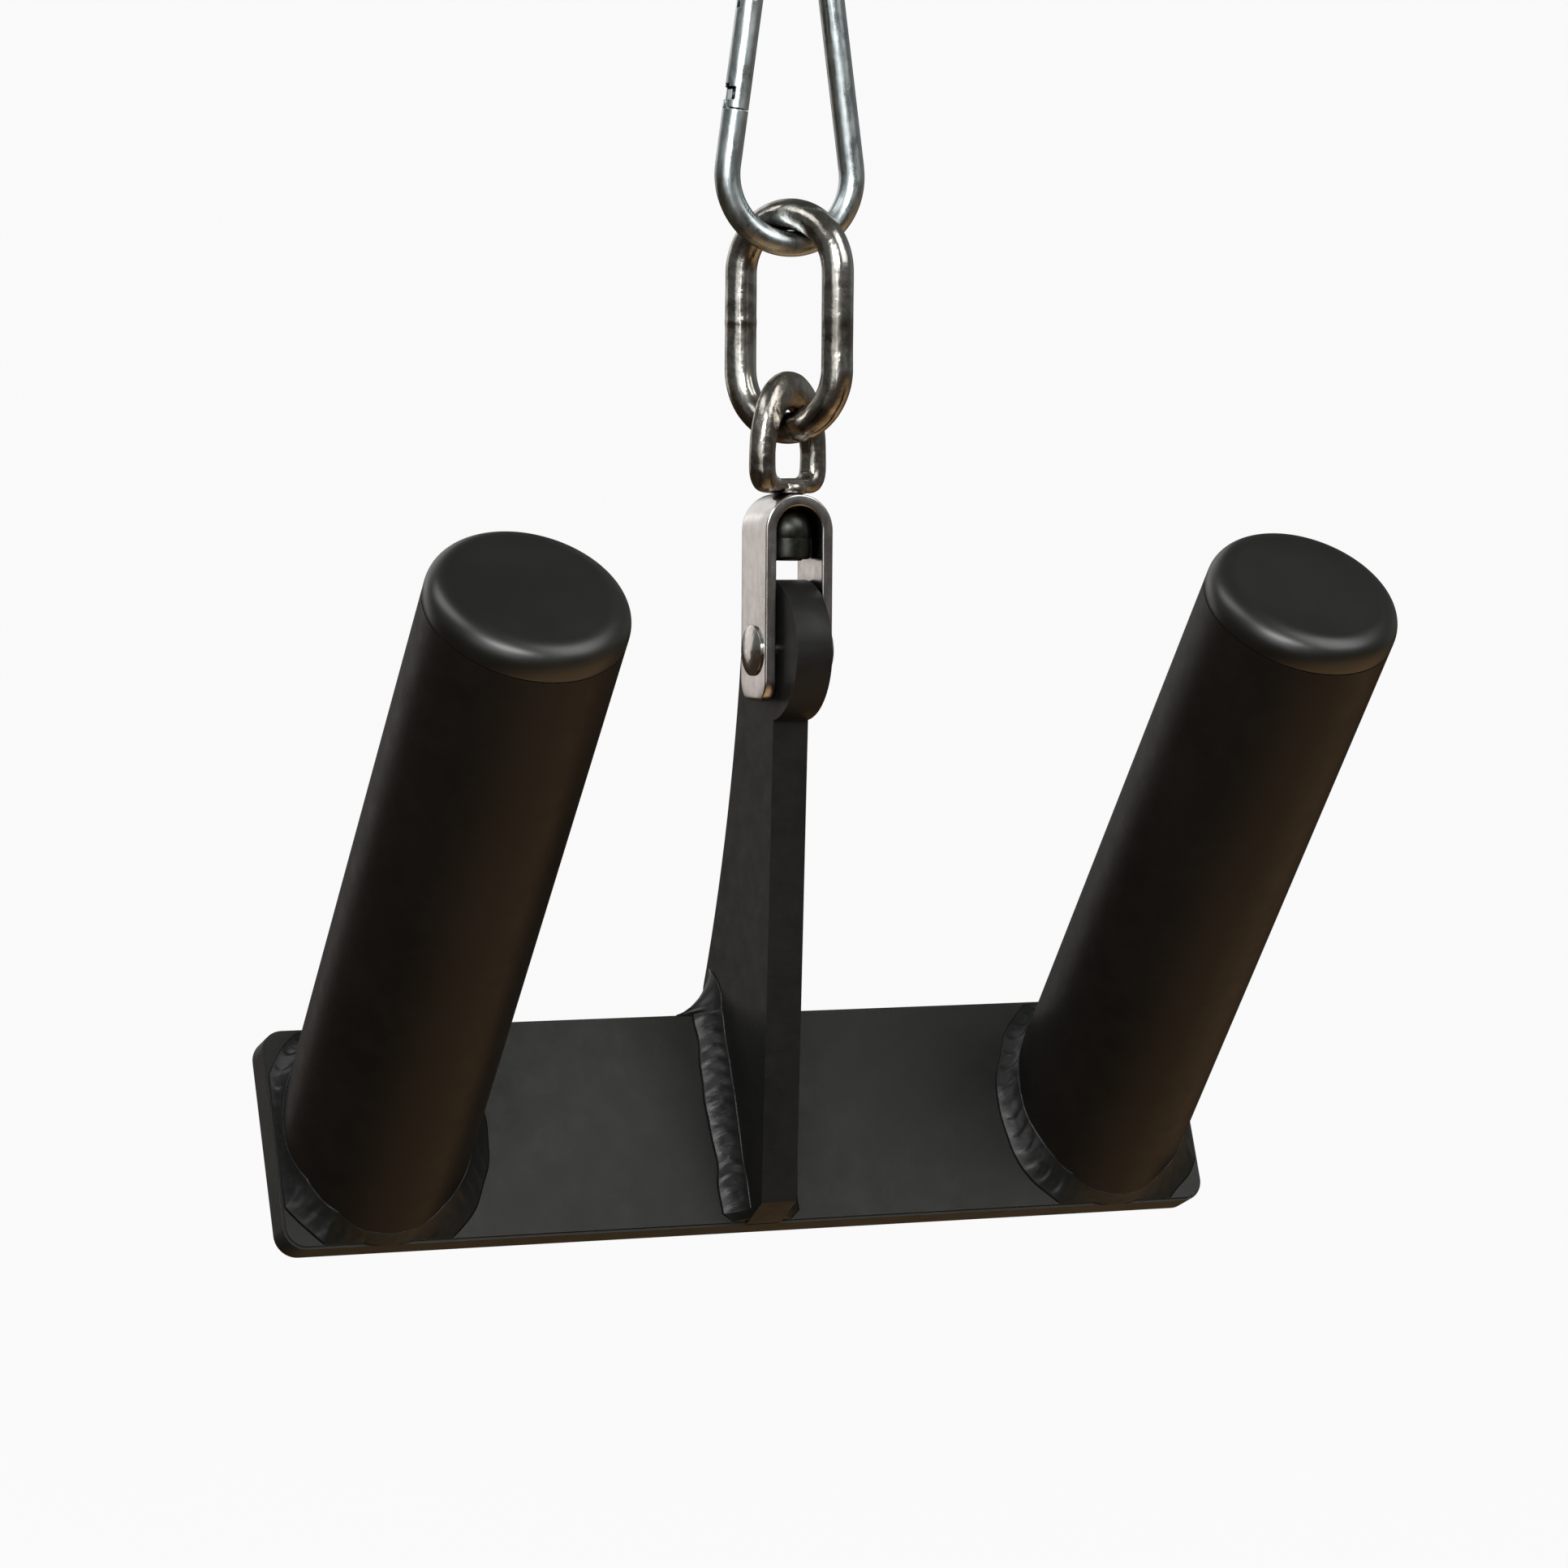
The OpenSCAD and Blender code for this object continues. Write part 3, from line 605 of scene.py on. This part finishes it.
def strap():
    """One bent strap: up the left leg, round the crown and down the right leg.
    The left leg ends in rounded corners, the right in an arc about the cross pin."""
    edge_radius = 0.00045
    end_radius = 0.0007  # rounding of the legs' ends through the thickness
    corner = 0.0055  # corner radius of the left leg's end
    cloud = points("swivel_bracket")
    half_width = np.abs(cloud[:, 0]).max()
    crown_z = cloud[:, 2].max() - half_width  # centre of the crown's arc
    near_crown = cloud[np.abs(cloud[:, 2] - crown_z) < 0.012]
    half_depth = np.abs(near_crown[:, 1]).max()
    inner = np.abs(cloud[cloud[:, 2] < crown_z - 0.002][:, 0]).min()
    thick = half_width - inner
    mid_radius = half_width - thick / 2

    def leg(sign):
        """Stations upward: (centre, outward normal, half depth, height above the leg's end)."""
        end_z = cloud[cloud[:, 0] * sign > inner - 1e-6][:, 2].min()
        end_curve = end_z + 0.0075 * (1 - np.cos(np.linspace(0, np.pi / 2, 18)))
        stations = []
        for z in np.concatenate([end_curve, np.linspace(end_z + 0.0078, crown_z, 30)]):
            height = z - end_z
            if sign < 0:
                cut = math.sqrt(max(0.0, corner * corner - max(0.0, corner - height) ** 2))
                depth = half_depth - corner + cut
            else:
                depth = math.sqrt(max(0.0, (pin_z - end_z) ** 2 - (z - pin_z) ** 2))
                if z >= pin_z:
                    depth = max(half_depth, depth)
            stations.append((X * sign * mid_radius + Z * z, X * sign, max(depth, 0.0004), height))
        return stations

    arch = []
    for i in range(1, 40):
        t = math.pi * (1 - i / 40)
        normal = X * math.cos(t) + Z * math.sin(t)
        arch.append((Z * crown_z + normal * mid_radius, normal, half_depth, 1.0))
    sections = []
    for centre, normal, depth, height in leg(-1) + arch + leg(1)[::-1]:
        half_thick = thick / 2
        if height <= end_radius:
            drop = max(0.0, end_radius ** 2 - (end_radius - height) ** 2)
            half_thick += math.sqrt(drop) - end_radius
        edge_y = min(edge_radius, depth * 0.8)
        edge_n = min(edge_radius, half_thick)
        ring = []
        for sign_y, sign_n, start in ((1, 1, 0), (-1, 1, 90), (-1, -1, 180), (1, -1, 270)):
            for k in range(6):
                t = math.radians(start + 90 * k / 5)
                y = sign_y * (depth - edge_y) + edge_y * math.cos(t)
                n = sign_n * (half_thick - edge_n) + edge_n * math.sin(t)
                ring.append(centre + normal * n + np.array([0, y, 0]))
        sections.append(ring)
    stand_in("bracket_strap", "swivel_bracket", skin(sections, closed=False),
             BRACKET_PLATING, body="bracket")


strap()


# ------------------------------------------------------------------ eye and link
def own_plane(cloud, degrees, reach):
    """Level directions along and square to a flat ring, found by its greatest reach."""
    yaws = [math.radians(t) for t in degrees]
    yaw = max(yaws, key=lambda t: reach(cloud[:, 0] * math.cos(t) + cloud[:, 1] * math.sin(t)))
    along = np.array([math.cos(yaw), math.sin(yaw), 0.0])
    return along, np.array([-math.sin(yaw), math.cos(yaw), 0.0])


def path_normal(path, i):
    """Outward unit normal at a point of a closed path of (along, z)."""
    tangent = np.array(path[(i + 1) % len(path)]) - np.array(path[i - 1])
    tangent /= np.linalg.norm(tangent)
    return tangent[1], -tangent[0]


def forged_eye():
    """Forged eye: drawn-out crown, straight legs, square shoulders set on a round collar."""
    path_steps, bar_steps = 220, 28
    cloud = points("swivel_eye")
    bracket_top = points("swivel_bracket")[:, 2].max()
    ring = cloud[cloud[:, 2] > bracket_top + 0.0045]
    along, across = own_plane(ring, np.arange(0, 180, 0.25), np.ptp)
    half = np.abs(ring @ along).max()
    bar = np.abs(ring @ across).max()  # half the bar's thickness
    wide_z = ring[np.argmax(np.abs(ring @ along)), 2]
    mid_radius = half - bar + 0.0004
    rise = (ring[:, 2].max() - wide_z) / half
    base_z = bracket_top + 0.0023
    power = 2.0 / 4.6  # squareness of the shoulders
    path, bars = [], []
    for i in range(path_steps):
        t = 2 * math.pi * i / path_steps
        cos, sin = math.cos(t), math.sin(t)
        if sin >= 0:
            path.append((mid_radius * cos, wide_z + mid_radius * rise * sin))
            bars.append(bar * (1 + (rise - 1) * sin ** 2))
        else:
            path.append((mid_radius * abs(cos) ** power * (1 if cos > 0 else -1),
                         wide_z - (wide_z - base_z) * abs(sin) ** power))
            bars.append(bar * (1 - 0.42 * abs(sin) ** 6))
    sections = []
    for i, (place, z) in enumerate(path):
        normal, normal_z = path_normal(path, i)
        section = []
        for k in range(bar_steps):
            t = 2 * math.pi * k / bar_steps
            cos, sin = math.cos(t), math.sin(t)
            # hammered section: a little squarer than round
            square = (abs(cos) ** 2.5 + abs(sin) ** 2.5) ** (-1 / 2.5)
            reach = bars[i] * square * cos
            point = along * (place + normal * reach * 1.02)
            point = point + Z * (z + normal_z * reach * 0.985)
            point = point + across * (bar * 0.97 * square * sin)
            lump = uneven(*(point * 170))
            outward = along * normal * cos + Z * (normal_z * cos) + across * sin
            section.append(point + outward * 0.00012 * lump)
        sections.append(section)
    verts, faces = skin(sections, closed=True)
    # shank and collar in one turned profile of (radius, z)
    low = cloud[:, 2].min()
    shank = np.hypot(*cloud[cloud[:, 2] < low + 0.002][:, :2].T).max()
    collar = 0.0050
    seat = bracket_top + 0.00005
    profile = [
        (0.0, low), (shank - 0.0003, low), (shank, low + 0.0003), (shank, seat),
        (collar - 0.0004, seat), (collar, bracket_top + 0.0005), (collar, base_z),
        (collar - 0.0005, bracket_top + 0.0029), (0.0, bracket_top + 0.0031),
    ]
    turned_verts, turned_faces = lathe(profile, origin=0 * Z, axis=Z, segments=48)
    faces += [tuple(len(verts) + k for k in face) for face in turned_faces]
    stand_in("forged_eye", "swivel_eye", (verts + turned_verts, faces),
             EYE_PLATING, body="swivel")


def bent_link():
    """Link bent from slightly uneven bar, its butt weld a low soft ridge on one straight side."""
    straight_steps, bend_steps, bar_steps = 64, 72, 36
    cloud = points("chain_link")
    radii = np.hypot(cloud[:, 0], cloud[:, 1])
    far = cloud[radii > radii.max() - 0.0045]
    along, across = own_plane(far, np.arange(-90, 90, 0.25), lambda reach: np.abs(reach).mean())
    low, high = cloud[:, 2].min(), cloud[:, 2].max()
    middle_z = (low + high) / 2
    ends = cloud[(cloud[:, 2] > high - 0.006) | (cloud[:, 2] < low + 0.006)]
    bar = np.abs(ends @ across).max()  # the bar's radius
    clear_of_weld = cloud[np.abs(cloud[:, 2] - middle_z) > 0.003]
    half_width = np.abs(clear_of_weld @ along).max()
    bend = half_width - bar
    straight = (high - low) / 2 - half_width  # half the straight length
    path = []
    for sign, start in ((1, 0.0), (-1, math.pi)):
        for i in range(straight_steps):
            z = -straight + 2 * straight * i / straight_steps
            path.append((sign * bend, sign * z))
        for i in range(bend_steps):
            t = start + math.pi * i / bend_steps
            path.append((bend * math.cos(t), sign * straight + bend * math.sin(t)))
    sections = []
    for i, (place, z) in enumerate(path):
        normal, normal_z = path_normal(path, i)
        centre = along * place + Z * (middle_z + z)
        ridge = 0.00022 * math.exp(-(z / 0.0011) ** 2) if place < -bend * 0.99 else 0.0
        section = []
        for k in range(bar_steps):
            t = 2 * math.pi * k / bar_steps
            cos = math.cos(t)
            outward = along * (normal * cos) + Z * (normal_z * cos) + across * math.sin(t)
            soft = uneven(*((centre + outward * bar) * 130))
            radius = bar + 0.00007 * (soft - 0.6) + ridge * (0.6 + 0.4 * soft)
            section.append(centre + outward * radius)
        sections.append(section)
    stand_in("bent_link", "chain_link", skin(sections, closed=True),
             LINK_PLATING, body="link")


forged_eye()
bent_link()

# ------------------------------------------------------------------ camera
scene = bpy.context.scene
scene.view_settings.view_transform = "Standard"
scene.view_settings.look = "None"
scene.view_settings.exposure = 0.0
scene.view_settings.gamma = 1.0

# 23.6 degrees round to the left of the front, looking 3.5 degrees down
CAMERA_AT = Vector((-0.536515, -1.227049, pin_z + 0.045927))
CAMERA_AXES = Matrix((
    (0.9165089, -0.3999466, 0.0073615),  # right
    (0.0174294, 0.0583129, 0.9981462),  # up
    (-0.3996344, -0.9146816, 0.0604151),  # backward
))
camera_data = bpy.data.cameras.new("camera")
camera_data.sensor_width = 36.0
camera_data.lens = 117.2858385
camera_data.clip_start = 0.05
camera_data.clip_end = 60.0
camera = bpy.data.objects.new("camera", camera_data)
camera.matrix_world = Matrix.Translation(CAMERA_AT) @ CAMERA_AXES.transposed().to_4x4()
scene.collection.objects.link(camera)
scene.camera = camera


# ------------------------------------------------------------------ floor
def floor_material():
    """Nearly even white glow with a little diffuse shading."""
    g = MaterialGraph("pale_floor")
    grain = g.noise(g.place, scale=60.0, detail=3.0)
    g.surface(Base_Color=(0.92, 0.92, 0.915), Roughness=0.9,
              Normal=g.bump(grain, strength=0.1, distance=0.001).outputs[0])
    glow = g.node("ShaderNodeEmission", {"Color": (1, 1, 1), "Strength": 1.02})
    glow_share = 0.92
    both = g.node("ShaderNodeMixShader",
                  {0: glow_share, 1: g.bsdf.outputs[0], 2: glow.outputs[0]})
    g.put(g.output.inputs["Surface"], both.outputs[0])
    return g.material


def studio_floor():
    """Round floor that sweeps up into a wall all the way round; only the camera sees it."""
    flat, sweep, wall_top = 3.2, 2.2, 5.5
    segments, sweep_steps = 96, 12
    floor_z = cad_lo[2] - 0.32
    profile = [(flat, 0.0)]
    for i in range(1, sweep_steps + 1):
        t = math.radians(90 * i / sweep_steps)
        profile.append((flat + sweep * math.sin(t), sweep - sweep * math.cos(t)))
    profile.append((flat + sweep, wall_top))
    verts = []
    for radius, height in profile:
        for k in range(segments):
            t = 2 * math.pi * k / segments
            verts.append((radius * math.cos(t), radius * math.sin(t), floor_z + height))
    centre = len(verts)
    verts.append((0, 0, floor_z))
    faces = [(centre, k, (k + 1) % segments) for k in range(segments)]
    for i in range(len(profile) - 1):
        for k in range(segments):
            a, b = i * segments + k, i * segments + (k + 1) % segments
            faces.append((a, a + segments, b + segments, b))
    mesh = bpy.data.meshes.new("studio_floor")
    mesh.from_pydata(verts, [], faces)
    for polygon in mesh.polygons:
        polygon.use_smooth = True
    floor = bpy.data.objects.new("studio_floor", mesh)
    scene.collection.objects.link(floor)
    mesh.materials.append(floor_material())
    floor.visible_glossy = False
    floor.visible_diffuse = False
    floor.visible_transmission = False
    floor.visible_shadow = False


studio_floor()

# ------------------------------------------------------------------ world
# direction, angles in degrees at which the glow is full and gone, colour
GLOWS = (
    ((0.50, -0.05, -0.86), 8, 62, (0.46, 0.29, 0.15)),  # warm floor
    ((-0.41, 0.905, 0.11), 12, 18, (0.60, 0.565, 0.545)),  # pale wall behind, left
    ((0.95, 0.25, 0.12), 6, 26, (0.09, 0.095, 0.09)),  # pale wall, right
    ((-0.74, -0.67, 0.08), 5, 19, (1.0, 1.03, 1.03)),  # window, front left
    ((-0.06, 0.915, 0.42), 10, 24, (0.75, 0.74, 0.72)),  # pale wall, high behind
)


def studio_world():
    """Surfaces reflect a dim room, warm below, with soft glows; the camera sees plain white."""
    world = bpy.data.worlds.new("studio")
    scene.world = world
    g = Graph(world)
    view = g.node("ShaderNodeTexCoord").outputs["Generated"]
    z = g.node("ShaderNodeSeparateXYZ", {0: view}).outputs[2]
    below, level, above = (0.036, 0.026, 0.017), (0.105, 0.11, 0.11), (0.105, 0.11, 0.10)
    room = g.mix(g.remap(z, span=(-0.07, 0.05), smooth=True), below, level)
    room = g.mix(g.remap(z, span=(0.12, 0.90), smooth=True), room, above)
    for direction, full, gone, colour in GLOWS:
        nearness = g.dot(view, tuple(Vector(direction).normalized()))
        span = (math.cos(math.radians(gone)), math.cos(math.radians(full)))
        glow = g.mix(g.remap(nearness, span, smooth=True), (0, 0, 0), colour)
        room = g.mix(1.0, room, glow, blend="ADD")
    reflected = g.node("ShaderNodeBackground", {"Color": room, "Strength": 1.0})
    white = g.node("ShaderNodeBackground", {"Color": (1, 1, 1)})
    seen = g.node("ShaderNodeLightPath").outputs["Is Camera Ray"]
    both = g.node("ShaderNodeMixShader", {0: seen, 1: reflected.outputs[0], 2: white.outputs[0]})
    g.node("ShaderNodeOutputWorld", {"Surface": both.outputs[0]})


studio_world()

# ------------------------------------------------------------------ lights
# name, direction from the middle of the product, distance, width, height, radiance
SOFTBOXES = (
    ("softbox_left", (-0.62, 0.02, 0.60), 1.7, 1.5, 0.6, 2.2),
    ("softbox_right", (0.47, -0.64, 0.61), 1.4, 0.9, 0.9, 2.5),
    ("softbox_front", (-0.46, -0.88, 0.02), 2.2, 0.28, 0.9, 2.4),
    ("softbox_rim", (-0.40, -0.86, 0.36), 1.6, 0.95, 0.36, 10.5),
)
for name, direction, distance, width, height, radiance in SOFTBOXES:
    toward = Vector(direction).normalized()
    light = bpy.data.lights.new(name, "AREA")
    light.shape = "RECTANGLE"
    light.size, light.size_y = width, height
    light.energy = math.pi * width * height * radiance
    softbox = bpy.data.objects.new(name, light)
    softbox.location = (cad_lo + cad_hi) / 2 + toward * distance
    softbox.rotation_euler = (-toward).to_track_quat("-Z", "Y").to_euler()
    softbox.visible_camera = False
    scene.collection.objects.link(softbox)
